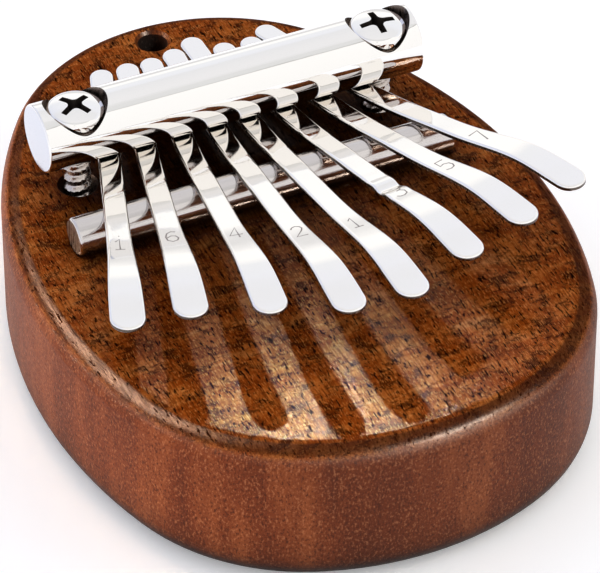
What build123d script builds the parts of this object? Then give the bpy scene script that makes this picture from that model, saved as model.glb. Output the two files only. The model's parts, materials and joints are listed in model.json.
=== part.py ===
from build123d import *
from math import atan, cos, degrees, radians, sin, sqrt, tan
import os

# Eight-tine hand piano. Millimetres, +Z up, the player's end towards -Y.
# The origin is the centre of the flat base, under the middle of the block.

# --- wooden block -----------------------------------------------------------
BLOCK_HEIGHT = 21.0
BLOCK_BACK_Y = 46.15         # rearmost point of the outline
# Half outline, back to front: tangent arcs as (radius, turn in degrees).
# The last arc brings the total turn to 180 degrees; its radius closes the loop.
OUTLINE_ARCS = ((27.0, 54.0), (67.5, 54.6), (28.0, 49.6))
TOP_FILLET = 3.0
BOTTOM_FILLET = 4.0

LANYARD_RADIUS = 2.0
LANYARD_Y = 40.9
LANYARD_CHAMFER = 0.4

# --- tine bed: two bridge rods and the pressure bar -------------------------
RUNNING_GAP = 0.03           # clearance between touching pieces
CROSSING_GAP = 0.14          # sloping, skewed tine over a rod, measured at the rod's crest
CUTTER_LENGTH = 20.0         # of a bore or outline that goes right through a bar or a tine
ROD_CHAMFER = 0.5
# Each bridge: radius, length, middle x, y, and how deep it sits in its groove.
FRONT_BRIDGE = (2.5, 52.0, -0.3, 4.6, 0.4)
REAR_BRIDGE = (2.0, 30.0, 0.6, 26.0, 0.4)

TINE_THICKNESS = 0.85
BAR_RADIUS = 4.5
BAR_LENGTH = 52.0
BAR_Y = 16.8
BAR_CHAMFER = 0.35

# --- screws -----------------------------------------------------------------
SCREWS_X = (-20.7, 21.3)
SCREW_TURNS = (30.0, -2.0)    # how the two crosses happen to stand
HEAD_RADIUS = 3.8
HEAD_HEIGHT = 2.4
HEAD_CROWN_RADIUS = 12.0     # the shallow dome of the head
HEAD_CORNER = 0.9
SEAT_ABOVE_BAR_AXIS = 1.5    # floor of the counterbore
COUNTERBORE_RADIUS = 4.15
THREAD_CREST_RADIUS = 1.8
SHANK_LENGTH = 22.0          # under the head, point included
POINT_LENGTH = 3.5
SHANK_HOLE_RADIUS = 1.95
PILOT_DEPTH = 14.0
PILOT_CHAMFER = 0.7
RECESS_DEPTH = 1.9
RECESS_SPAN = 4.7
RECESS_SLOT = 0.9
RECESS_CORNER = 0.65
RECESS_TAPER = 9.0

# --- tines ------------------------------------------------------------------
DIP_UNDER_BAR = 1.2          # how far the bar springs a tine down below the front bridge
REAR_SLOPE_GAIN = 1.5        # tine's slope over the rear bridge, against a straight line to the bar
STEM_WIDTH = 3.05
NECK_WIDTH = 3.2             # where the spoon begins to widen
SPOON_WIDTH = 4.4
SPOON_LENGTH = 9.5           # playing end
KICK_LENGTH = 9.5            # steeper stretch before it, where the stem widens
RISE_SLOPE = 9.4             # degrees, from the front bridge to the kick
KICK_SLOPE = 12.5
SPOON_SLOPE = -1.0
SPLIT_AHEAD = 1.0            # clamped part ends this far past the bridge crest
SPLIT_GAP = 0.10

# Hand-set fan, left to right: angle from straight ahead, x over the front
# bridge, length behind that bridge and length in front of it.
TINES = (
    (-19.3, -20.6, 29.2, 28.6),
    (-14.8, -14.7, 28.4, 29.1),
    (-8.5, -8.4, 27.6, 32.4),
    (-3.2, -2.6, 27.9, 36.6),
    (1.4, 2.7, 29.2, 37.2),
    (8.0, 8.9, 26.7, 32.9),
    (14.6, 15.6, 27.0, 29.7),
    (22.0, 22.6, 29.8, 26.0),
)


def rod_axis(bridge):
    """Height of a bridge rod's axis."""
    return BLOCK_HEIGHT + bridge[0] - bridge[4]


def rod_crest(bridge):
    """Height of a bridge rod's highest line."""
    return rod_axis(bridge) + bridge[0]


TINE_Z = rod_crest(FRONT_BRIDGE) + CROSSING_GAP
BAR_Z = TINE_Z - DIP_UNDER_BAR + TINE_THICKNESS + RUNNING_GAP + BAR_RADIUS
SEAT_Z = BAR_Z + SEAT_ABOVE_BAR_AXIS


def arc_points(start, heading, radius, turn):
    """Middle, end and end heading of a clockwise arc; headings in degrees from +X."""
    centre_x = start[0] + radius * sin(radians(heading))
    centre_y = start[1] - radius * cos(radians(heading))
    points = []
    for part in (0.5, 1.0):
        angle = heading - part * turn
        x = centre_x - radius * sin(radians(angle))
        y = centre_y + radius * cos(radians(angle))
        points.append((x, y))
    return points[0], points[1], heading - turn


def block_outline():
    """Closed egg-shaped outline, built as one half and its mirror image."""
    point = (0.0, BLOCK_BACK_Y)
    heading = 0.0
    edges = []
    for radius, turn in OUTLINE_ARCS:
        middle, end, heading = arc_points(point, heading, radius, turn)
        edges.append(ThreePointArc(point, middle, end))
        point = end
    last_turn = 180.0 + heading
    last_radius = point[0] / sin(radians(last_turn))
    middle, end, heading = arc_points(point, heading, last_radius, last_turn)
    edges.append(ThreePointArc(point, middle, (0.0, end[1])))
    edges += [mirror(edge, about=Plane.YZ) for edge in edges]
    return make_face(Wire.combine(edges, 0.001)[0].edges())


def rod(length, radius, x, y, z, chamfer_size=0.0):
    """Round bar along X, centred on (x, y, z)."""
    bar = Cylinder(radius, length, rotation=(0, 90, 0))
    if chamfer_size:
        bar = chamfer(bar.edges().filter_by(GeomType.CIRCLE), chamfer_size)
    return Pos(x, y, z) * bar


def hole(radius, depth, x, y, top, chamfer_size):
    """Blind or through hole going down from a face, with a chamfered mouth."""
    bore = Pos(x, y, top - depth / 2) * Cylinder(radius, depth)
    mouth = Pos(x, y, top - chamfer_size / 2) * Cone(radius, radius + chamfer_size, chamfer_size)
    return bore + mouth


def make_bridge(bridge, grow=0.0):
    """Bridge rod; grown all round, it is the groove that the rod lies in."""
    radius, length, x, y, _ = bridge
    chamfer_size = 0 if grow else ROD_CHAMFER
    return rod(length + 2 * grow, radius + grow, x, y, rod_axis(bridge), chamfer_size)


def make_block():
    block = extrude(block_outline(), BLOCK_HEIGHT)
    block = fillet(block.faces().sort_by(Axis.Z)[-1].edges(), TOP_FILLET)
    block = fillet(block.faces().sort_by(Axis.Z)[0].edges(), BOTTOM_FILLET)
    block -= make_bridge(FRONT_BRIDGE, RUNNING_GAP) + make_bridge(REAR_BRIDGE, RUNNING_GAP)
    for x in SCREWS_X:
        block -= hole(SHANK_HOLE_RADIUS, PILOT_DEPTH, x, BAR_Y, BLOCK_HEIGHT, PILOT_CHAMFER)
    block -= hole(LANYARD_RADIUS, BLOCK_HEIGHT, 0, LANYARD_Y, BLOCK_HEIGHT, LANYARD_CHAMFER)
    lower_mouth = Cone(LANYARD_RADIUS + LANYARD_CHAMFER, LANYARD_RADIUS, LANYARD_CHAMFER)
    return block - Pos(0, LANYARD_Y, LANYARD_CHAMFER / 2) * lower_mouth


def make_pressure_bar():
    bar = rod(BAR_LENGTH, BAR_RADIUS, 0, BAR_Y, BAR_Z, BAR_CHAMFER)
    for x in SCREWS_X:
        at = Pos(x, BAR_Y, BAR_Z)
        bar -= at * Cylinder(SHANK_HOLE_RADIUS, CUTTER_LENGTH)
        counterbore = Cylinder(COUNTERBORE_RADIUS, CUTTER_LENGTH)
        bar -= at * Pos(0, 0, SEAT_ABOVE_BAR_AXIS + CUTTER_LENGTH / 2) * counterbore
    return bar


def screw_recess():
    """Tapered cross for the driver, its mouth at z = 0."""
    mouth = Rectangle(RECESS_SPAN, RECESS_SLOT) + Rectangle(RECESS_SLOT, RECESS_SPAN)
    inner_corners = mouth.vertices().sort_by_distance((0, 0, 0))[:4]
    return extrude(fillet(inner_corners, RECESS_CORNER), -RECESS_DEPTH, taper=RECESS_TAPER)


def crown_height(radius):
    """Height of the head's shallow dome above the seat, at a distance from the screw's axis."""
    return HEAD_HEIGHT - HEAD_CROWN_RADIUS + sqrt(HEAD_CROWN_RADIUS ** 2 - radius ** 2)


def make_screw(x, turn):
    """Pan-head wood screw; the shank is as thick as the thread's crest."""
    rim = (HEAD_RADIUS, crown_height(HEAD_RADIUS))
    crown = ThreePointArc(rim, (HEAD_RADIUS / 2, crown_height(HEAD_RADIUS / 2)), (0, HEAD_HEIGHT))
    sides = Polyline((0, HEAD_HEIGHT), (0, -SHANK_LENGTH), (THREAD_CREST_RADIUS, POINT_LENGTH - SHANK_LENGTH),
                     (THREAD_CREST_RADIUS, 0), (HEAD_RADIUS, 0), rim)
    section = make_face([crown, *sides.edges()])
    section = fillet(section.vertices().sort_by_distance(rim)[0], HEAD_CORNER)
    screw = revolve(Plane.XZ * section, Axis.Z) - Pos(0, 0, HEAD_HEIGHT) * screw_recess()
    return Pos(x, BAR_Y, SEAT_Z + RUNNING_GAP) * Rot(0, 0, turn) * screw


def tine_frame(index):
    """Place of a tine: +X runs along it to the playing end, from the bridge crest."""
    angle, x, _, _ = TINES[index]
    return Pos(x, FRONT_BRIDGE[3], TINE_Z) * Rot(0, 0, angle - 90)


def strip_side(knots, start_slope, end_slope):
    """Side section of a tine: a smooth underside through (x, z) knots, one thickness deep."""
    start = (cos(radians(start_slope)), sin(radians(start_slope)))
    end = (cos(radians(end_slope)), sin(radians(end_slope)))
    lower = Spline(*knots, tangents=(start, end))
    upper = Pos(0, TINE_THICKNESS) * lower
    ends = [Line(lower @ 0, upper @ 0), Line(lower @ 1, upper @ 1)]
    side = make_face([lower, upper, *ends])
    return extrude(Plane.XZ * side, SPOON_WIDTH, both=True)


def root_knots(index):
    """Underside of the clamped part, which the bar springs down between the bridges."""
    angle, _, rear, _ = TINES[index]
    along = 1 / cos(radians(angle))
    bar = (FRONT_BRIDGE[3] - BAR_Y) * along
    rear_bridge = (FRONT_BRIDGE[3] - REAR_BRIDGE[3]) * along
    rear_z = rod_crest(REAR_BRIDGE) + CROSSING_GAP - TINE_Z
    rear_slope = REAR_SLOPE_GAIN * (rear_z + DIP_UNDER_BAR) / (bar - rear_bridge)
    end_z = rear_z + rear_slope * (rear + rear_bridge)
    front = SPLIT_AHEAD - SPLIT_GAP / 2
    knots = [(-rear, end_z), (rear_bridge, rear_z), (bar, -DIP_UNDER_BAR), (0, 0),
             (front, front * tan(radians(RISE_SLOPE)))]
    return knots, -degrees(atan(rear_slope))


def make_tine_root(index):
    """Clamped part: strip with a round rear end, over both bridges and under the bar."""
    rear = TINES[index][2]
    half = STEM_WIDTH / 2
    plan = Pos(half - rear, 0) * Circle(half)
    plan += Pos((half - rear + SPLIT_AHEAD) / 2, 0) * Rectangle(SPLIT_AHEAD + rear - half, STEM_WIDTH)
    knots, rear_slope = root_knots(index)
    side = strip_side(knots, rear_slope, RISE_SLOPE)
    return tine_frame(index) * (side & extrude(plan, CUTTER_LENGTH, both=True))


def reed_knots(length):
    """Underside of the free part: a rise, a kick up, then the spoon."""
    start = SPLIT_AHEAD + SPLIT_GAP / 2
    kick_at = length - SPOON_LENGTH - KICK_LENGTH
    spoon_at = length - SPOON_LENGTH
    kick_z = kick_at * tan(radians(RISE_SLOPE))
    spoon_z = kick_z + KICK_LENGTH * tan(radians(KICK_SLOPE))
    tip_z = spoon_z + SPOON_LENGTH * tan(radians(SPOON_SLOPE))
    return [(start, start * tan(radians(RISE_SLOPE))), (kick_at, kick_z), (spoon_at, spoon_z),
            (length, tip_z)]


def reed_plan(length):
    """Plan outline: slightly tapered stem, flare, and a spoon with a round end."""
    start = SPLIT_AHEAD + SPLIT_GAP / 2
    stem, neck, spoon = STEM_WIDTH / 2, NECK_WIDTH / 2, SPOON_WIDTH / 2
    neck_at = length - SPOON_LENGTH - KICK_LENGTH
    round_at = length - spoon
    left = Spline((start, stem), (neck_at, neck), (round_at, spoon), tangents=((1, 0), (1, 0)))
    right = mirror(left, about=Plane.XZ)
    tip = ThreePointArc((round_at, spoon), (length, 0), (round_at, -spoon))
    return make_face([left, tip, right, Line((start, -stem), (start, stem))])


def make_tine_reed(index):
    """Vibrating part, from just past the front bridge to the playing end."""
    length = TINES[index][3]
    side = strip_side(reed_knots(length), RISE_SLOPE, SPOON_SLOPE)
    return tine_frame(index) * (side & extrude(reed_plan(length), CUTTER_LENGTH, both=True))


def make_parts():
    parts = {
        "body": make_block(),
        "front_bridge": make_bridge(FRONT_BRIDGE),
        "rear_bridge": make_bridge(REAR_BRIDGE),
        "pressure_bar": make_pressure_bar(),
        "left_screw": make_screw(SCREWS_X[0], SCREW_TURNS[0]),
        "right_screw": make_screw(SCREWS_X[1], SCREW_TURNS[1]),
    }
    for index in range(len(TINES)):
        parts[f"tine_{index + 1}_root"] = make_tine_root(index)
        parts[f"tine_{index + 1}_reed"] = make_tine_reed(index)
    return parts


os.makedirs("parts", exist_ok=True)
for name, shape in make_parts().items():
    export_step(shape, f"parts/{name}.step")
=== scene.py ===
import json
import math

import bmesh
import bpy
import numpy as np
from mathutils import Matrix, Vector


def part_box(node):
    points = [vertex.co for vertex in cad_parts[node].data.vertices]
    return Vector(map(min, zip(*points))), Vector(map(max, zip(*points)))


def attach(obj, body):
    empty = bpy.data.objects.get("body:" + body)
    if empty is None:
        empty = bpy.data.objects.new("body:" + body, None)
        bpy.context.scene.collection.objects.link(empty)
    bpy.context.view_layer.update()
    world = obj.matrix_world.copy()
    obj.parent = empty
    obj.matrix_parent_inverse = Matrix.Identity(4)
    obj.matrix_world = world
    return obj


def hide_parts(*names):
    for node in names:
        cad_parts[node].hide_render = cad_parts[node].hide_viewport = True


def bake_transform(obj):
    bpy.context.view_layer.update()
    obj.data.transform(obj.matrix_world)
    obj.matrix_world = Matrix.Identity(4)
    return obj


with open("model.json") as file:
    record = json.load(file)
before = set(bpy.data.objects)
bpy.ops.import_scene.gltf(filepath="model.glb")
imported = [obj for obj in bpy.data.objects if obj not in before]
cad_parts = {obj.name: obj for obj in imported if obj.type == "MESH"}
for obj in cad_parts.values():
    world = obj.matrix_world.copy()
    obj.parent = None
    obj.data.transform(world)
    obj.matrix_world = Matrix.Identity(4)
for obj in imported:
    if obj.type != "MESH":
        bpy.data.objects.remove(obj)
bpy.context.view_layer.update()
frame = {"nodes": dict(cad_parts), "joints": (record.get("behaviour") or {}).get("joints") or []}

MM = 0.001

# --- camera, in metres and degrees --------------------------------------------
CAMERA_TARGET = (0.0, -0.0059, 0.0140)
CAMERA_DISTANCE = 0.6082
CAMERA_AZIMUTH = -24.6
CAMERA_ELEVATION = 39.5
CAMERA_LENS = 289.0           # in millimetres

# --- studio: colour of the light from the horizon, 0, to straight up, 1 ---------
WORLD_STRENGTH = 1.12
LEFT_TINT = (0.80, 0.83, 0.95)
CAMERA_SPOT = 1.6             # radius of the dark camera seen in the chrome, degrees
CAMERA_SPOT_EDGE = 0.8        # width of its soft edge
CAMERA_SPOT_GREY = (0.05, 0.05, 0.05)
FRONT_LIGHT = ((0.0, (0.95, 0.95, 0.95)), (0.635, (0.97, 0.97, 0.97)), (0.642, (0.50, 0.49, 0.48)),
               (0.650, (0.50, 0.49, 0.48)), (0.657, (0.74, 0.75, 0.76)), (1.0, (0.80, 0.80, 0.82)))
BACK_LIGHT = ((0.0, (0.70, 0.70, 0.71)), (0.12, (0.75, 0.75, 0.76)), (0.17, (1.0, 1.0, 1.0)),
              (0.25, (1.0, 1.0, 1.0)), (0.33, (0.85, 0.87, 0.91)), (0.46, (0.84, 0.86, 0.92)),
              (0.55, (0.80, 0.81, 0.84)), (1.0, (0.86, 0.86, 0.88)))

VIEW_GAMMA = 0.88
FLOOR_HALF = 3000.0           # in millimetres
FLOOR_GLOW = 0.22             # lifts the floor's shadows

SHADE_REACH = 0.014           # how far the painted shade reaches from what stands over the wood
GLEAM_DISTANCE = 2.0
SOFT = ("left_wall",)         # lights that only brighten; the rest only gleam
# Name, place it is aimed at, direction it comes from, size, colour and power.
GLEAMS = (
    ("streaks", (-0.0125, -0.0333, 0.021), (0.3064, 0.6693, 0.6769), (0.10, 0.028), (1.0, 0.76, 0.54),
     12.0),
    ("front_edge", (0.01, -0.045, 0.02), (0.44, -0.60, 0.67), (0.8, 0.4), (1.0, 0.84, 0.70), 430.0),
    ("left_edge", (-0.04, -0.01, 0.02), (-0.40, 0.46, 0.75), (1.3, 1.3), (1.0, 0.75, 0.55), 760.0),
    ("left_wall", (-0.04, -0.01, 0.01), (-1.0, 0.20, 0.35), (0.9, 0.9), (1.0, 0.88, 0.78), 30.0),
)

# --- pieces, in millimetres -----------------------------------------------------
TINE_EDGE = 0.34              # rounding along a tine's edges
EDGE_ANGLES = (15, 32, 50, 70, 90)      # places of points round that rounding, in degrees
TINE_COLUMNS = 9              # points across a tine's flat faces
TINE_STEP = 0.5               # spacing of points along a tine
SIDE_SLOPE = 0.3              # faces steeper than this get the painted dark reflection
HALF_NECK = 1.6               # half width where the spoon begins to widen
SPOON_AND_KICK = 19.0         # that place, measured back from the tip
BEND_START = -1.0             # where a plucked tine starts to bend, along it from its hinge; fit_tine works out this point but bends nothing
BEND_END = 6.0
END_STEPS = 14                # points round each end of a tine
GROOVE_RADIUS = 0.12          # tool that engraves the numerals
GROOVE_LIFT = 0.06            # its centre stands this far over the surface
DIGIT_HEIGHT = 2.75
# Numeral of each tine, left to right, and its distance past the front bridge.
DIGITS = (("high 1", 10.3), ("6", 11.7), ("4", 14.5), ("2", 17.9), ("1", 19.6), ("3", 15.7), ("5", 13.2),
          ("7", 9.2))
HINGE_AHEAD = 1.0             # the hinge stands this far past the front bridge
DIGIT_WIDTH = 0.6             # of the box the strokes are drawn in, which is 1 high
# Strokes of the numerals, right and up from the lower left corner of that box.
STROKES = {
    "1": (((0.12, 0.78), (0.30, 1.0), (0.30, 0.0)), ((0.08, 0.0), (0.52, 0.0))),
    "high 1": (((0.12, 0.78), (0.30, 1.0), (0.30, 0.0)), ((0.08, 0.0), (0.52, 0.0)),
               ((0.27, 1.3), (0.33, 1.3))),
    "2": (((0.04, 0.78), (0.14, 0.94), (0.30, 1.0), (0.48, 0.92), (0.55, 0.74), (0.46, 0.52), (0.05, 0.0),
           (0.58, 0.0)),),
    "3": (((0.04, 0.90), (0.26, 1.0), (0.50, 0.90), (0.53, 0.70), (0.40, 0.55), (0.22, 0.52)),
          ((0.40, 0.53), (0.56, 0.38), (0.55, 0.14), (0.34, 0.0), (0.12, 0.02), (0.0, 0.14))),
    "4": (((0.40, 0.0), (0.40, 1.0), (0.0, 0.28), (0.60, 0.28)),),
    "5": (((0.54, 1.0), (0.10, 1.0), (0.06, 0.54), (0.30, 0.62), (0.52, 0.52), (0.58, 0.30), (0.48, 0.08),
           (0.26, 0.0), (0.02, 0.08)),),
    "6": (((0.50, 0.94), (0.30, 1.0), (0.10, 0.84), (0.02, 0.50), (0.06, 0.16), (0.28, 0.0), (0.50, 0.10),
           (0.57, 0.32), (0.46, 0.54), (0.26, 0.58), (0.04, 0.40)),),
    "7": (((0.02, 1.0), (0.58, 1.0), (0.22, 0.0)),),
}
HEAD_HEIGHT = 2.4
HEAD_CROWN_RADIUS = 12.0
HEAD_CORNER = 0.9
HEAD_FOOT = 0.15              # rounding where the head meets its seat
HEAD_GAP = 0.03               # between head and seat
RECESS_EDGE = 0.05            # rounding of the cross's rim
SCREW_TURNS = {"left": 30.0, "right": -2.0}     # of the driver's crosses, in degrees
CREST_RADIUS = 1.8
ROOT_RADIUS = 1.2
THREAD_PITCH = 1.6
THREAD_RIDGE = 0.30           # half width of the thread's ridge, as a part of the pitch
THREAD_FULLNESS = 0.8         # below 1 the ridge's flanks bulge
THREAD_SHARP = 60.0           # as SHARP_ANGLE, for the thread
THREAD_STEPS = 48             # points round the thread
THREAD_ROWS = 14              # rows of points in one turn
POINT_LENGTH = 3.5
POINT_TIP = 0.02              # part of the full radius left at the very tip
RECESS_DEPTH = 1.9
RECESS_ARM = 2.35             # mouth of the cross: centre to arm end
RECESS_HALF_SLOT = 0.45
RECESS_CORNER = 0.65
RECESS_DRAFT = 0.30           # how much narrower the floor of the cross is
RECESS_RISE = 0.6             # how far the tool that cuts the cross stands over the head
SEAT_ABOVE_AXIS = 1.5
COUNTERBORE_RADIUS = 4.15
SHANK_HOLE_RADIUS = 1.95
BAR_BORE_REACH = 6.0          # the bores' tools pass this far beyond the bar's axis or seat
BAR_END_ROUNDING = 0.3
BAR_EDGE = 0.16
BRIDGE_END_ROUNDING = 0.45
FLAT_END = 0.99               # faces that look along a rod at least this much are its ends
ROUND_STEPS = 128
ROUNDING_STEPS = 6            # points round a small rounding
HEAD_STEPS = 10
FOOT_STEPS = 3
SHARP_ANGLE = 35.0            # between faces, in degrees


# --- node helpers -------------------------------------------------------------
class Nodes:
    """Short calls for building one material's node tree."""

    def __init__(self, name):
        self.material = bpy.data.materials.new(name)
        self.material.use_nodes = True
        self.tree = self.material.node_tree
        self.surface = self.tree.nodes["Principled BSDF"]

    def add(self, kind, **values):
        node = self.tree.nodes.new(kind)
        for key, value in values.items():
            if key in node.inputs:
                node.inputs[key].default_value = value
            else:
                setattr(node, key, value)
        return node

    def put(self, target, value):
        """Feeds a socket from another socket, or sets its value."""
        if isinstance(value, bpy.types.NodeSocket):
            self.tree.links.new(value, target)
        elif isinstance(value, tuple) and len(value) == 3 and target.type == "RGBA":
            target.default_value = (*value, 1.0)
        else:
            target.default_value = value

    def set(self, **values):
        """Sets or feeds the surface's own sockets; Base_Color stands for Base Color."""
        for key, value in values.items():
            self.put(self.surface.inputs[key.replace("_", " ")], value)

    def maths(self, operation, first, second=0.0):
        node = self.add("ShaderNodeMath", operation=operation)
        self.put(node.inputs[0], first)
        self.put(node.inputs[1], second)
        return node.outputs[0]

    def span(self, value, low, high, start=0.0, end=1.0, smooth=True):
        """Maps low..high of a value to start..end, held beyond both."""
        node = self.add("ShaderNodeMapRange", interpolation_type="SMOOTHSTEP" if smooth else "LINEAR")
        for key, number in (("From Min", low), ("From Max", high), ("To Min", start), ("To Max", end)):
            node.inputs[key].default_value = number
        self.put(node.inputs["Value"], value)
        return node.outputs[0]

    def mix(self, factor, first, second, blend="MIX"):
        node = self.add("ShaderNodeMix", data_type="RGBA", blend_type=blend)
        self.put(node.inputs[0], factor)
        self.put(node.inputs[6], first)
        self.put(node.inputs[7], second)
        return node.outputs[2]

    def ramp(self, value, stops):
        node = self.add("ShaderNodeValToRGB")
        while len(node.color_ramp.elements) < len(stops):
            node.color_ramp.elements.new(0.5)
        for element, (place, colour) in zip(node.color_ramp.elements, stops):
            element.position = place
            element.color = (*colour, 1.0)
        self.put(node.inputs[0], value)
        return node.outputs[0]

    def stretched(self, scale, shift=(0, 0, 0)):
        """Object coordinates times a scale per axis, so that scale 1000 counts in millimetres."""
        source = self.add("ShaderNodeTexCoord")
        mapping = self.add("ShaderNodeMapping")
        mapping.inputs["Scale"].default_value = scale
        mapping.inputs["Location"].default_value = shift
        self.put(mapping.inputs["Vector"], source.outputs["Object"])
        return mapping.outputs[0]

    def noise(self, vector, detail=4.0, roughness=0.55, distortion=0.0):
        node = self.add("ShaderNodeTexNoise", Scale=1.0, Detail=detail, Roughness=roughness,
                        Distortion=distortion)
        self.put(node.inputs["Vector"], vector)
        return node.outputs["Fac"]

    def bump(self, height, strength, distance, normal=None):
        node = self.add("ShaderNodeBump", Strength=strength, Distance=distance)
        self.put(node.inputs["Height"], height)
        if normal is not None:
            self.put(node.inputs["Normal"], normal)
        return node.outputs[0]


# --- materials --------------------------------------------------------------------
def metal_material(name, colour, roughness, stretch):
    """Bright plated steel: a mirror with faint waves and fine polishing marks along the piece."""
    n = Nodes(name)
    waves = n.noise(n.stretched((260, 260, 260)), detail=1.0)
    marks = n.noise(n.stretched(stretch), detail=3.0)
    n.set(Metallic=1.0, Base_Color=colour,
          Roughness=n.span(marks, 0.3, 0.75, roughness * 0.6, roughness * 1.6),
          Normal=n.bump(marks, 0.03, 0.00002, n.bump(waves, 0.05, 0.0004)))
    return n.material


def dull_material(name, colour):
    """Unpolished metal at the bottom of the numerals, and near-black painted shade at the bottom of the
    driver's cross.
    """
    n = Nodes(name)
    n.set(Metallic=0.9, Base_Color=colour, Roughness=0.5)
    return n.material


def wood_material():
    """Open-pored red-brown hardwood, grain along Y, under a thin lacquer."""
    n = Nodes("hardwood")
    figure = n.noise(n.stretched((150, 330, 150)), detail=5.0, roughness=0.65, distortion=0.6)
    blotch = n.noise(n.stretched((330, 420, 330), (7, 3, 1)), detail=4.0, roughness=0.75)
    streak = n.noise(n.stretched((3200, 210, 3200)), detail=4.0, roughness=0.7)
    fibre = n.noise(n.stretched((7000, 1100, 7000), (5, 1, 8)), detail=2.0, roughness=0.6)
    rungs = n.noise(n.stretched((620, 3000, 900), (3, 9, 5)), detail=3.0, roughness=0.6)
    pore = n.noise(n.stretched((3200, 720, 3200), (11, 5, 2)), detail=3.0, roughness=0.5)
    speck = n.noise(n.stretched((6500, 6500, 6500)), detail=2.0, roughness=0.6)

    base = n.ramp(figure, ((0.30, (0.140, 0.026, 0.002)), (0.44, (0.250, 0.056, 0.006)),
                           (0.57, (0.360, 0.110, 0.019)), (0.72, (0.500, 0.205, 0.055))))
    base = n.mix(n.span(streak, 0.38, 0.66, 0.0, 0.75), base, (0.085, 0.016, 0.002))
    base = n.mix(n.span(blotch, 0.50, 0.62, 0.0, 0.80), base, (0.040, 0.008, 0.001))
    base = n.mix(n.span(fibre, 0.54, 0.66, 0.0, 0.45), base, (0.620, 0.260, 0.070))
    base = n.mix(n.span(rungs, 0.60, 0.68, 0.0, 0.70), base, (0.020, 0.004, 0.001))
    pores = n.span(pore, 0.59, 0.65)
    base = n.mix(n.maths("MULTIPLY", pores, 0.92), base, (0.006, 0.002, 0.001))

    # Painted reflection: the rim of the top is darker where the rounding begins, standing in for the dark
    # reflection there.
    geometry = n.add("ShaderNodeNewGeometry")
    split = n.add("ShaderNodeSeparateXYZ")
    n.put(split.inputs[0], geometry.outputs["Normal"])
    facing_up = split.outputs["Z"]
    dark_rim_reflection = n.maths("MULTIPLY", n.span(facing_up, 0.995, 0.96), n.span(facing_up, 0.62, 0.80))
    base = n.mix(n.maths("MULTIPLY", dark_rim_reflection, 0.72), base, (0.040, 0.009, 0.002))

    # Side walls: paler, satin, with fine flecks and soft upright bands.
    side = n.span(facing_up, 0.80, 0.45)
    bands = n.noise(n.stretched((170, 170, 25)), detail=5.0, roughness=0.6)
    side_base = n.ramp(bands, ((0.34, (0.115, 0.023, 0.005)), (0.50, (0.165, 0.036, 0.008)),
                               (0.66, (0.240, 0.064, 0.017))))
    grit = n.noise(n.stretched((3600, 3600, 2200), (2, 6, 9)), detail=3.0, roughness=0.65)
    side_base = n.mix(n.span(grit, 0.53, 0.66, 0.0, 0.72), side_base, (0.045, 0.009, 0.003))
    side_base = n.mix(n.span(grit, 0.46, 0.34, 0.0, 0.50), side_base, (0.430, 0.180, 0.080))
    colour = n.mix(side, base, side_base)

    # Painted shade: the wood is darkened close under the metalwork and inside the holes.
    shade = n.add("ShaderNodeAmbientOcclusion", samples=8, Distance=SHADE_REACH)
    colour = n.mix(n.span(shade.outputs["AO"], 0.30, 0.90, 0.92, 0.0), colour, (0.004, 0.001, 0.0005))

    relief = n.maths("SUBTRACT", n.maths("MULTIPLY", n.maths("ADD", speck, fibre), 0.4), pores)
    normal = n.bump(relief, 0.45, 0.00009, n.bump(streak, 0.20, 0.00010))
    glaze = n.maths("MULTIPLY", n.maths("SUBTRACT", 1.0, pores), n.span(streak, 0.62, 0.36, 0.045, 0.105))
    n.set(Base_Color=colour, Roughness=n.span(side, 0.0, 1.0, 0.45, 0.50), Normal=normal,
          Specular_IOR_Level=n.span(side, 0.0, 1.0, 0.0, 0.12), Coat_Weight=glaze,
          Coat_Roughness=n.span(facing_up, 0.998, 0.970, 0.075, 0.30), Coat_IOR=1.5,
          Coat_Normal=n.bump(relief, 0.11, 0.00009))
    return n.material


def paint(obj, *materials):
    obj.data.materials.clear()
    for material in materials:
        obj.data.materials.append(material)


# --- mesh helpers, in millimetres ---------------------------------------------------
def make_object(name, vertices, faces):
    mesh = bpy.data.meshes.new(name)
    mesh.from_pydata([tuple(c * MM for c in v) for v in vertices], [], faces)
    mesh.validate()
    obj = bpy.data.objects.new(name, mesh)
    bpy.context.scene.collection.objects.link(obj)
    return obj


def tidy_normals(obj, sharp_angle=SHARP_ANGLE):
    """Consistent outward faces, shaded smooth except over sharp edges."""
    work = bmesh.new()
    work.from_mesh(obj.data)
    bmesh.ops.remove_doubles(work, verts=work.verts, dist=1e-7)
    bmesh.ops.recalc_face_normals(work, faces=work.faces)
    work.to_mesh(obj.data)
    work.free()
    obj.data.shade_smooth()
    obj.data.set_sharp_from_angle(angle=math.radians(sharp_angle))


def lathe(name, profile, place, along_x=False):
    """Solid of revolution from (radius, height) points that start and end on the axis."""
    vertices, faces = [], []
    for radius, height in profile:
        for step in range(ROUND_STEPS):
            angle = 2 * math.pi * step / ROUND_STEPS
            point = (radius * math.cos(angle), radius * math.sin(angle), height)
            if along_x:
                point = (point[2], point[0], point[1])
            vertices.append(tuple(a + b for a, b in zip(point, place)))
    for row in range(len(profile) - 1):
        low, high = row * ROUND_STEPS, (row + 1) * ROUND_STEPS
        for step in range(ROUND_STEPS):
            after = (step + 1) % ROUND_STEPS
            faces.append((low + step, low + after, high + after, high + step))
    obj = make_object(name, vertices, faces)
    tidy_normals(obj)
    return obj


def arc(centre, radius, start, end, steps):
    """Points of an arc in a profile, angles in degrees."""
    points = []
    for step in range(steps + 1):
        angle = math.radians(start + (end - start) * step / steps)
        points.append((centre[0] + radius * math.cos(angle), centre[1] + radius * math.sin(angle)))
    return points


def cut(obj, tool):
    """Takes one closed mesh away from another."""
    modifier = obj.modifiers.new("cut", "BOOLEAN")
    modifier.operation = "DIFFERENCE"
    modifier.solver = "EXACT"
    modifier.use_self = True
    modifier.object = tool
    apply_modifiers(obj)
    bpy.data.objects.remove(tool)


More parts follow.
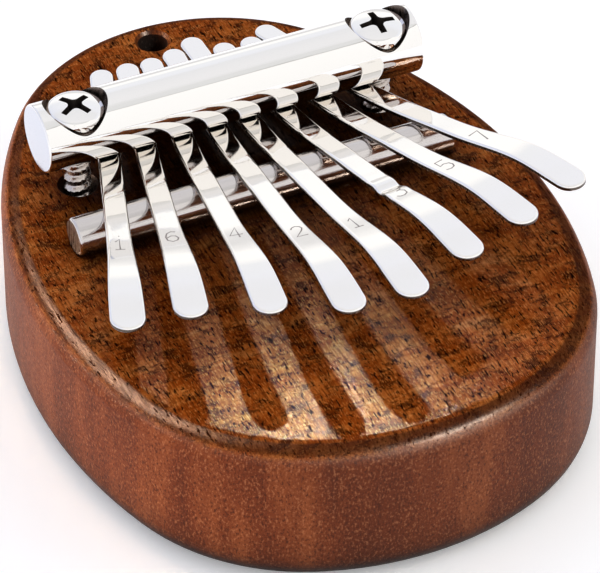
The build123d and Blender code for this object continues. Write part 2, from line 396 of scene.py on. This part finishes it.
def apply_modifiers(obj):
    graph = bpy.context.evaluated_depsgraph_get()
    mesh = bpy.data.meshes.new_from_object(obj.evaluated_get(graph))
    obj.modifiers.clear()
    obj.data = mesh


def bevel(obj, width, segments=3):
    """Rounds the sharp edges of a mesh."""
    modifier = obj.modifiers.new("round", "BEVEL")
    modifier.width = width * MM
    modifier.segments = segments
    modifier.limit_method = "ANGLE"
    modifier.angle_limit = math.radians(SHARP_ANGLE)
    modifier.harden_normals = True
    apply_modifiers(obj)


def box_mm(node):
    """Lowest and highest corner of a CAD node."""
    low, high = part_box(node)
    return low / MM, high / MM


# --- tines --------------------------------------------------------------------------
class Spline:
    """Cubic curve through points at least GAP apart; natural, or with level ends."""
    GAP = 1.0

    def __init__(self, places, values, level=False):
        order = np.argsort(places)
        kept = [order[0]]
        for index in order[1:-1]:
            if places[index] - places[kept[-1]] > self.GAP and places[order[-1]] - places[index] > self.GAP:
                kept.append(index)
        kept.append(order[-1])
        self.x, self.y = places[kept], values[kept]
        step, slope = np.diff(self.x), np.diff(self.y) / np.diff(self.x)
        count = len(self.x)
        system, target = np.eye(count), np.zeros(count)
        for i in range(1, count - 1):
            system[i, i - 1:i + 2] = step[i - 1], 2 * (step[i - 1] + step[i]), step[i]
            target[i] = 6 * (slope[i] - slope[i - 1])
        if level:
            system[0, :2] = 2 * step[0], step[0]
            system[-1, -2:] = step[-1], 2 * step[-1]
            target[0], target[-1] = 6 * slope[0], -6 * slope[-1]
        self.bend = np.linalg.solve(system, target)

    def __call__(self, place):
        i = int(np.clip(np.searchsorted(self.x, place) - 1, 0, len(self.x) - 2))
        step = self.x[i + 1] - self.x[i]
        a, b = (self.x[i + 1] - place) / step, (place - self.x[i]) / step
        curve = (a ** 3 - a) * self.bend[i] + (b ** 3 - b) * self.bend[i + 1]
        return a * self.y[i] + b * self.y[i + 1] + curve * step ** 2 / 6


class Strip:
    """Side and plan shape of one tine, measured from its two CAD nodes."""
    SLICE = 0.6               # half length of the slice searched for a face overhead
    OVERHEAD = 0.5            # a face this far over a point is the top

    def __init__(self, number):
        joint = next(j for j in frame["joints"] if j["name"] == f"tine_{number}_pluck")
        self.origin = Vector(joint["pos_m"]) / MM
        self.across = -Vector(joint["axis"]).normalized()
        self.along = self.across.cross(Vector((0, 0, 1)))
        points = []
        for part in ("root", "reed"):
            for vertex in frame["nodes"][f"tine_{number}_{part}"].data.vertices:
                offset = vertex.co / MM - self.origin
                points.append((offset.dot(self.along), offset.dot(self.across), offset.z))
        points = np.array(points)
        self.start, self.end = points[:, 0].min(), points[:, 0].max()
        top = np.array([not self.face_over(points, point) for point in points])
        self.top = Spline(points[top][:, 0], points[top][:, 2])
        self.under = Spline(points[~top][:, 0], points[~top][:, 2])
        self.half_spoon = abs(points[:, 1]).max()
        self.half_stem = abs(points[points[:, 0] < 0][:, 1]).max()
        places = np.array((0.0, self.end - SPOON_AND_KICK, self.end - self.half_spoon))
        self.widening = Spline(places, np.array((self.half_stem, HALF_NECK, self.half_spoon)), level=True)

    def face_over(self, points, point):
        """Whether the tine's top is over this point, so that it lies on the underside."""
        near = abs(points[:, 0] - point[0]) < self.SLICE
        return (points[near][:, 2] - point[2]).max() > self.OVERHEAD

    def stations(self):
        """Places along the tine with its half width there; both ends are round."""
        rear, front = self.start + self.half_stem, self.end - self.half_spoon
        result = []
        for step in range(END_STEPS):
            angle = math.pi / 2 * step / END_STEPS
            result.append((rear - self.half_stem * math.cos(angle), self.half_stem * math.sin(angle)))
        for place in np.linspace(rear, front, int((front - rear) / TINE_STEP)):
            result.append((place, self.widening(place) if place > 0 else self.half_stem))
        for step in range(1, END_STEPS + 1):
            angle = math.pi / 2 * step / END_STEPS
            result.append((front + self.half_spoon * math.sin(angle), self.half_spoon * math.cos(angle)))
        result[-1] = (self.end, 0.0)
        return result

    def point(self, along, across, height):
        return self.origin + self.along * along + self.across * across + Vector((0, 0, height))


def inward(stations, index):
    """Unit vector, in plan, from the outline into the strip on its +across side."""
    if index == 0:
        return 1.0, 0.0
    if index == len(stations) - 1:
        return -1.0, 0.0
    along = stations[index + 1][0] - stations[index - 1][0]
    across = stations[index + 1][1] - stations[index - 1][1]
    length = math.hypot(along, across)
    return across / length, -along / length


def section(strip, place, half, normal):
    """Closed loop of points round the strip at one station, edges rounded."""
    fractions = [1.0, *np.linspace(0.9, -0.9, TINE_COLUMNS - 2), -1.0]
    rounding = []
    for angle in EDGE_ANGLES:
        turn = math.radians(angle)
        rounding.append((TINE_EDGE * (1 - math.sin(turn)), TINE_EDGE * (1 - math.cos(turn))))

    def spot(inset):
        return place + inset * normal[0], max(half + inset * normal[1], 0.0)

    flat_place, flat_half = spot(TINE_EDGE)
    upper = [(flat_place, flat_half * f, strip.top(flat_place)) for f in fractions]
    side = []
    for inset, drop in rounding:
        at, width = spot(inset)
        side.append((at, width, strip.top(at) - drop))
    for inset, drop in reversed(rounding):
        at, width = spot(inset)
        side.append((at, width, strip.under(at) + drop))
    lower = [(flat_place, flat_half * f, strip.under(flat_place)) for f in reversed(fractions)]
    right = [(at, -width, height) for at, width, height in side]
    return upper + right + lower + list(reversed(side))


def make_tine(number):
    strip = Strip(number)
    stations = strip.stations()
    vertices, faces = [], []
    for index, (place, half) in enumerate(stations):
        loop = section(strip, place, half, inward(stations, index))
        vertices += [strip.point(*point) for point in loop]
    size = len(loop)
    for row in range(len(stations) - 1):
        low, high = row * size, (row + 1) * size
        for step in range(size):
            after = (step + 1) % size
            faces.append((low + step, high + step, high + after, low + after))
    tine = make_object(f"tine_{number}", vertices, faces)
    tidy_normals(tine)
    paint(tine, steel, engraved, dark_side_reflection)
    # Painted reflection: the tine's steep sides are dark, for the shaded wood they reflect.
    for face in tine.data.polygons:
        if abs(face.normal.z) < SIDE_SLOPE:
            face.material_index = 2
    cut(tine, make_numeral(number, strip))
    tidy_normals(tine)
    return tine, strip


def make_numeral(number, strip):
    """Round strokes that engrave one numeral when taken away from the tine."""
    numeral, distance = DIGITS[number - 1]
    middle = distance - HINGE_AHEAD
    curve = bpy.data.curves.new(f"numeral_{number}", "CURVE")
    curve.dimensions = "3D"
    curve.bevel_depth = GROOVE_RADIUS * MM
    curve.bevel_resolution = 2
    curve.use_fill_caps = True
    for stroke in STROKES[numeral]:
        line = curve.splines.new("POLY")
        line.points.add(len(stroke) - 1)
        for point, (right, up) in zip(line.points, stroke):
            place = middle - (up - 0.5) * DIGIT_HEIGHT
            aside = (right - DIGIT_WIDTH / 2) * DIGIT_HEIGHT
            spot = strip.point(place, aside, strip.top(place) + GROOVE_LIFT)
            point.co = (*(spot * MM), 1.0)
    obj = bpy.data.objects.new(f"numeral_{number}", curve)
    bpy.context.scene.collection.objects.link(obj)
    graph = bpy.context.evaluated_depsgraph_get()
    mesh = bpy.data.meshes.new_from_object(obj.evaluated_get(graph))
    bpy.data.objects.remove(obj)
    tool = bpy.data.objects.new(f"numeral_{number}", mesh)
    bpy.context.scene.collection.objects.link(tool)
    paint(tool, engraved)
    return tool


def fit_tine(number):
    tine, strip = make_tine(number)
    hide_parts(f"tine_{number}_root", f"tine_{number}_reed")
    strip.point(BEND_START, 0, 0) * MM
    strip.point(BEND_END, 0, 0) * MM
    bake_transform(tine)


# --- rods, bar and screws -------------------------------------------------------------
def round_rod(name, node, edge):
    """Rod along X with rounded ends, in the place of a CAD rod."""
    low, high = box_mm(node)
    radius, half = (high.z - low.z) / 2, (high.x - low.x) / 2
    profile = [(0.0, -half)] + arc((radius - edge, edge - half), edge, -90, 0, ROUNDING_STEPS)
    profile += arc((radius - edge, half - edge), edge, 0, 90, ROUNDING_STEPS) + [(0.0, half)]
    return lathe(name, profile, (low + high) / 2, along_x=True)


def face_ends(rod, material):
    """Gives the flat ends of a rod along X their own material."""
    rod.data.materials.append(material)
    for face in rod.data.polygons:
        if abs(face.normal.x) > FLAT_END:
            face.material_index = len(rod.data.materials) - 1


def make_bridge(node):
    rod = round_rod(node + "_rod", node, BRIDGE_END_ROUNDING)
    # The rod's ends get dark steel: a painted dark reflection of the wood.
    paint(rod, brushed)
    face_ends(rod, bore_shade_end_reflection)
    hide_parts(node)
    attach(rod, "block")


def drill(obj, foot, radius, height):
    """Cuts an upright round hole that starts at its foot."""
    tool = lathe("drill", [(0, 0), (radius, 0), (radius, height), (0, height)], foot)
    # The hole's walls get dark steel: painted shade inside the bore.
    paint(tool, bore_shade_end_reflection)
    cut(obj, tool)


def make_bar():
    bar = round_rod("clamp_bar", "pressure_bar", BAR_END_ROUNDING)
    # Second slot: painted shade on the walls of the bores.
    paint(bar, chrome, bore_shade_end_reflection)
    low, high = box_mm("pressure_bar")
    middle = (low + high) / 2
    for side in SCREW_TURNS:
        screw_low, screw_high = box_mm(f"{side}_screw")
        x = (screw_low.x + screw_high.x) / 2
        drill(bar, (x, middle.y, middle.z + SEAT_ABOVE_AXIS), COUNTERBORE_RADIUS, BAR_BORE_REACH)
        drill(bar, (x, middle.y, middle.z - BAR_BORE_REACH), SHANK_HOLE_RADIUS, 2 * BAR_BORE_REACH)
    bevel(bar, BAR_EDGE)
    # The bar's ends: rougher faced steel, with a bluish tint that is a painted reflection.
    face_ends(bar, faced_reflection)
    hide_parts("pressure_bar")
    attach(bar, "bar")


def cross_outline(arm, half_slot, corner):
    """Outline of a four-armed cross with rounded inner corners."""
    quarter = [(arm, -half_slot), (arm, half_slot)]
    quarter += arc((half_slot + corner, half_slot + corner), corner, 270, 180, ROUNDING_STEPS)
    outline = []
    for turn in range(4):
        spin = Matrix.Rotation(turn * math.pi / 2, 2)
        outline += [spin @ Vector(point) for point in quarter]
    return outline


def make_recess(place, turn):
    """The shape that the driver's cross takes out of a screw's head."""
    levels = ((RECESS_RISE, 0.0), (0.0, 0.0), (-RECESS_DEPTH, RECESS_DRAFT))
    vertices, faces = [], []
    spin = Matrix.Rotation(math.radians(turn), 2)
    for height, draft in levels:
        for point in cross_outline(RECESS_ARM - draft, RECESS_HALF_SLOT - draft, RECESS_CORNER + draft):
            x, y = spin @ point
            vertices.append((place[0] + x, place[1] + y, place[2] + height))
    size = len(vertices) // len(levels)
    for level in range(len(levels) - 1):
        top, bottom = level * size, (level + 1) * size
        for step in range(size):
            after = (step + 1) % size
            faces.append((top + step, bottom + step, bottom + after, top + after))
    faces.append(tuple(range(size)))
    faces.append(tuple(range(len(vertices) - 1, len(vertices) - size - 1, -1)))
    recess = make_object("recess", vertices, faces)
    tidy_normals(recess)
    # The cross's walls and floor get painted shade, nearly black.
    paint(recess, cross_recess_shade)
    return recess


def make_shank(name, x, y, seat, tip):
    """Coarse wood thread with a tapered point, as a surface round the screw's axis."""
    steps = THREAD_STEPS
    rows = int((seat - tip) / THREAD_PITCH * THREAD_ROWS)
    vertices, faces = [], []
    for row in range(rows + 1):
        z = seat + (tip - seat) * row / rows
        taper = min(1.0, (z - tip) / POINT_LENGTH + POINT_TIP)
        for step in range(steps):
            angle = 2 * math.pi * step / steps
            phase = (z / THREAD_PITCH - step / steps) % 1.0
            ridge = max(0.0, 1 - abs(phase - 0.5) / THREAD_RIDGE) ** THREAD_FULLNESS
            radius = (ROOT_RADIUS + (CREST_RADIUS - ROOT_RADIUS) * ridge) * taper
            vertices.append((x + radius * math.cos(angle), y + radius * math.sin(angle), z))
    for row in range(rows):
        high, low = row * steps, (row + 1) * steps
        for step in range(steps):
            after = (step + 1) % steps
            faces.append((high + step, low + step, low + after, high + after))
    faces.append(tuple(range(steps)))
    faces.append(tuple(range(rows * steps + steps - 1, rows * steps - 1, -1)))
    return make_object(name, vertices, faces)


def make_screw(side, turn):
    low, high = box_mm(f"{side}_screw")
    x, y = (low.x + high.x) / 2, (low.y + high.y) / 2
    radius = (high.x - low.x) / 2
    bar_low, bar_high = box_mm("pressure_bar")
    seat = (bar_low.z + bar_high.z) / 2 + SEAT_ABOVE_AXIS + HEAD_GAP
    crown = HEAD_HEIGHT - HEAD_CROWN_RADIUS
    reach = math.sqrt((HEAD_CROWN_RADIUS - HEAD_CORNER) ** 2 - (radius - HEAD_CORNER) ** 2)
    meet = math.degrees(math.atan2(reach, radius - HEAD_CORNER))
    profile = [(0.0, 0.0)] + arc((radius - HEAD_FOOT, HEAD_FOOT), HEAD_FOOT, -90, 0, FOOT_STEPS)
    profile += arc((radius - HEAD_CORNER, crown + reach), HEAD_CORNER, 0, meet, HEAD_STEPS)
    profile += arc((0.0, crown), HEAD_CROWN_RADIUS, meet, 90, HEAD_STEPS)[1:-1] + [(0.0, HEAD_HEIGHT)]
    screw = lathe(f"{side}_round_screw", profile, (x, y, seat))
    # Second slot: painted shade in the driver's cross.
    paint(screw, chrome, cross_recess_shade)
    cut(screw, make_recess((x, y, seat + HEAD_HEIGHT), turn))
    bevel(screw, RECESS_EDGE, segments=2)
    shank = make_shank("shank", x, y, seat, low.z)
    tidy_normals(shank, THREAD_SHARP)
    # The thread gets painted shade, for its place under the bar.
    paint(shank, shaded_thread_steel)
    with bpy.context.temp_override(active_object=screw, selected_editable_objects=[screw, shank]):
        bpy.ops.object.join()
    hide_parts(f"{side}_screw")
    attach(screw, f"{side}_screw")


# --- stage ----------------------------------------------------------------------------
def make_floor():
    corners = [(x * FLOOR_HALF, y * FLOOR_HALF, 0) for x, y in ((-1, -1), (1, -1), (1, 1), (-1, 1))]
    floor = make_object("floor", corners, [(0, 1, 2, 3)])
    n = Nodes("floor")
    n.set(Base_Color=(0.93, 0.93, 0.93), Roughness=0.9, Emission_Color=(1.0, 1.0, 1.0),
          Emission_Strength=FLOOR_GLOW)
    paint(floor, n.material)


def add_area_light(name, place, target, size, energy):
    light = bpy.data.lights.new(name, "AREA")
    light.shape = "RECTANGLE"
    light.size, light.size_y = size
    light.energy = energy
    obj = bpy.data.objects.new(name, light)
    bpy.context.scene.collection.objects.link(obj)
    obj.location = place
    obj.rotation_euler = (Vector(target) - Vector(place)).to_track_quat("-Z", "Y").to_euler()
    return obj


def camera_direction():
    """Unit vector from the target to the camera."""
    azimuth, elevation = math.radians(CAMERA_AZIMUTH), math.radians(CAMERA_ELEVATION)
    return Vector((math.sin(azimuth) * math.cos(elevation), -math.cos(azimuth) * math.cos(elevation),
                   math.sin(elevation)))


def make_camera():
    back = camera_direction()
    data = bpy.data.cameras.new("camera")
    data.lens = CAMERA_LENS
    data.clip_start = 0.01
    camera = bpy.data.objects.new("camera", data)
    camera.location = Vector(CAMERA_TARGET) + back * CAMERA_DISTANCE
    camera.rotation_euler = (-back).to_track_quat("-Z", "Y").to_euler()
    bpy.context.scene.collection.objects.link(camera)
    bpy.context.scene.camera = camera


class World(Nodes):
    """Node tree of the studio round the object; brightness by direction."""

    def __init__(self):
        world = bpy.data.worlds.new("world")
        bpy.context.scene.world = world
        world.use_nodes = True
        self.tree = world.node_tree
        self.background = self.tree.nodes["Background"]


def make_world():
    """Studio seen in the chrome: one ramp of light on the camera's side and one on the far side."""
    n = World()
    source = n.add("ShaderNodeTexCoord")
    split = n.add("ShaderNodeSeparateXYZ")
    n.put(split.inputs[0], source.outputs["Generated"])
    height = n.maths("MULTIPLY", n.maths("ARCSINE", split.outputs["Z"]), 180 / math.pi)
    azimuth = math.radians(CAMERA_AZIMUTH)
    toward = n.maths("ADD", n.maths("MULTIPLY", split.outputs["X"], math.sin(azimuth)),
                     n.maths("MULTIPLY", split.outputs["Y"], -math.cos(azimuth)))

    front = n.ramp(n.span(height, 0, 90, smooth=False), FRONT_LIGHT)
    back = n.ramp(n.span(height, 0, 90, smooth=False), BACK_LIGHT)
    light = n.mix(n.span(toward, -0.05, 0.05), back, front)

    facing = n.add("ShaderNodeVectorMath", operation="DOT_PRODUCT")
    n.put(facing.inputs[0], source.outputs["Generated"])
    facing.inputs[1].default_value = camera_direction()
    leftward = n.maths("ADD", n.maths("MULTIPLY", split.outputs["X"], -math.cos(azimuth)),
                       n.maths("MULTIPLY", split.outputs["Y"], -math.sin(azimuth)))
    light = n.mix(n.span(leftward, 0.15, 0.75), light, LEFT_TINT, "MULTIPLY")
    spot = n.span(facing.outputs["Value"], math.cos(math.radians(CAMERA_SPOT + CAMERA_SPOT_EDGE)),
                  math.cos(math.radians(CAMERA_SPOT)))
    light = n.mix(spot, light, CAMERA_SPOT_GREY)
    n.put(n.background.inputs["Color"], light)
    n.background.inputs["Strength"].default_value = WORLD_STRENGTH


def add_gleams():
    """Far lights whose gleam shows only on the wood's lacquer."""
    lacquered = bpy.data.collections.new("lacquered")
    lacquered.objects.link(frame["nodes"]["body"])
    for name, target, toward, size, colour, energy in GLEAMS:
        place = Vector(target) + Vector(toward).normalized() * GLEAM_DISTANCE
        light = add_area_light(name, place, target, size, energy)
        light.data.color = colour
        light.visible_diffuse = name in SOFT
        light.visible_glossy = name not in SOFT
        light.light_linking.receiver_collection = lacquered


wood = wood_material()
steel = metal_material("spring_steel", (0.93, 0.905, 0.875), 0.05, (4000, 300, 4000))
brushed = metal_material("bridge_steel", (0.69, 0.65, 0.63), 0.16, (300, 4000, 4000))
chrome = metal_material("polished_hardware", (0.93, 0.91, 0.885), 0.04, (300, 4000, 4000))
# Darker than the head: painted shade on the thread under the bar.
shaded_thread_steel = metal_material("shaded_thread_steel", (0.60, 0.54, 0.50), 0.22, (3000, 3000, 300))
# Dark steel: painted shade on the bores' walls in the bar, and painted dark reflection of the wood on the
# bridges' ends.
bore_shade_end_reflection = metal_material("bore_shade_end_reflection_steel", (0.30, 0.25, 0.22), 0.30, (3000, 3000, 300))
# Painted shade for the driver's cross: nearly black.
cross_recess_shade = dull_material("cross_recess_shade", (0.10, 0.08, 0.07))
# Rougher faced ends of the bar; their bluish tint is a painted reflection.
faced_reflection = metal_material("faced_end_reflection", (0.76, 0.77, 0.83), 0.12, (3000, 3000, 3000))
# Painted dark reflection of the shaded wood, on the tines' sides.
dark_side_reflection = metal_material("painted_side_reflection", (0.16, 0.13, 0.11), 0.25, (4000, 4000, 300))
engraved = dull_material("engraved", (0.42, 0.38, 0.36))
paint(frame["nodes"]["body"], wood)
for tine_number in range(1, len(DIGITS) + 1):
    fit_tine(tine_number)
make_bridge("front_bridge")
make_bridge("rear_bridge")
make_bar()
for screw_side, screw_turn in SCREW_TURNS.items():
    make_screw(screw_side, screw_turn)
make_floor()
make_camera()
make_world()
add_gleams()
view = bpy.context.scene.view_settings
view.view_transform = "Standard"
view.gamma = VIEW_GAMMA
